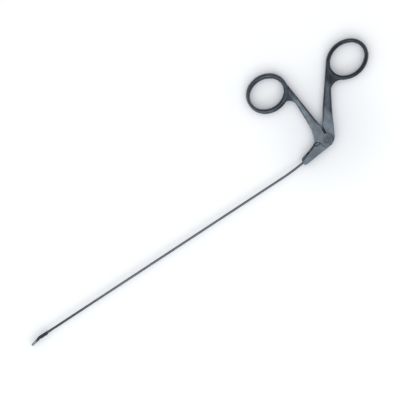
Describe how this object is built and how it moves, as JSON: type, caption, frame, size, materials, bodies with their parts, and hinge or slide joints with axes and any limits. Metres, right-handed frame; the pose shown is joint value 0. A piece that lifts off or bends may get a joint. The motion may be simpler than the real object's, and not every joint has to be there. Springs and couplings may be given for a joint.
{
  "type": "micro grasping forceps",
  "caption": "Ring-handled grasping forceps with a long slim shaft, a rod-driven moving jaw and a fixed jaw at the tip.",
  "frame": {"origin": "axis of the handle pivot, on the flat underside of the handles", "axes": "-X runs along the shaft from the handle to the jaws, +Y points to the finger rings, +Z is the pivot axis, out of the screw's head"},
  "size_m": [0.3382, 0.0779, 0.007],
  "materials": {
    "handle_steel": "satin gunmetal grey, softly mottled",
    "screw_steel": "satin grey",
    "tube_steel": "drawn satin steel",
    "jaw_steel": "dark satin steel",
    "bright_steel": "bright polished steel"
  },
  "bodies": {
    "frame": {"rear_handle": "handle_steel", "pivot_screw": "screw_steel", "tube_ferrule": "tube_steel", "tube_grub_screw": "screw_steel", "shaft_tube": "tube_steel", "tip_collar": "bright_steel", "fixed_jaw": "jaw_steel", "jaw_pivot_pin": "bright_steel"},
    "lever": {"front_handle": "handle_steel", "drive_pin": "bright_steel"},
    "rod": {"drive_rod": "bright_steel", "rod_slider": "bright_steel", "rod_tongue": "bright_steel", "jaw_drive_pin": "bright_steel"},
    "jaw": {"moving_jaw": "jaw_steel"}
  },
  "joints": [
    {"name": "handle_pivot", "type": "hinge", "parent": "frame", "child": "lever", "pos_m": [0, 0, 0.0035], "axis": [0, 0, 1], "range_deg": [0, 15]},
    {"name": "rod_slide", "type": "slide", "parent": "frame", "child": "rod", "axis": [1, 0, 0], "range_m": [0, 0.0007]},
    {"name": "jaw_pivot", "type": "hinge", "parent": "frame", "child": "jaw", "pos_m": [-0.2652, -0.00535, 0.0035], "axis": [0, 0, 1], "range_deg": [0, 34]}
  ],
  "couplings": [
    {"joint": "rod_slide", "follows": "handle_pivot", "m_per_rad": 0.00267},
    {"joint": "jaw_pivot", "follows": "handle_pivot", "ratio": 2.254}
  ]
}
